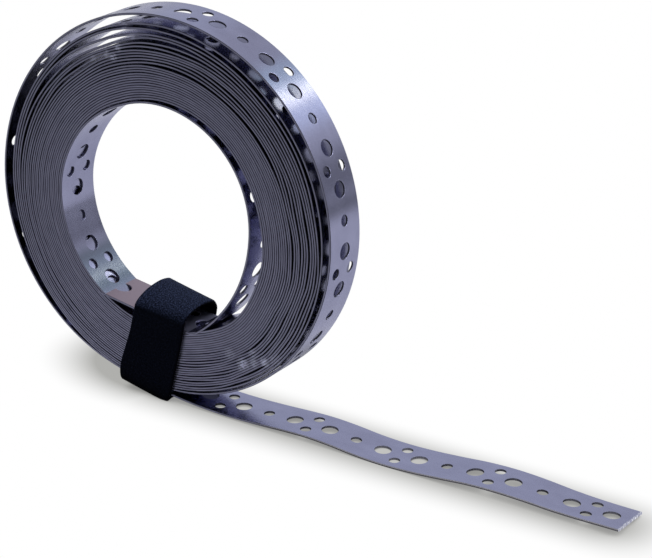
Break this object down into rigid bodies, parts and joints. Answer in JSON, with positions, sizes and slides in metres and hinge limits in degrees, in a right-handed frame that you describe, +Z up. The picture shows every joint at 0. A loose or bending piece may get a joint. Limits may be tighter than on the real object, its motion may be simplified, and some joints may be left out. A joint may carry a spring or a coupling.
{
  "type": "perforated metal strap",
  "caption": "Coil of flat perforated steel strap standing on its rim, with a wavy loose tail along the floor and a fabric tie round its section.",
  "frame": {"origin": "middle of the footprint, on the floor", "axes": "+X from the coil along its tail, +Y across the strap to the coil's far end face, +Z up; the coil's axis is parallel to Y"},
  "size_m": [0.2312, 0.02, 0.1308],
  "materials": {
    "strap_steel": "bright zinc-coated, finely scratched",
    "tie_fabric": "black hook-and-loop webbing"
  },
  "bodies": {
    "root": {"strap": "strap_steel", "tie": "tie_fabric"}
  },
  "joints": []
}
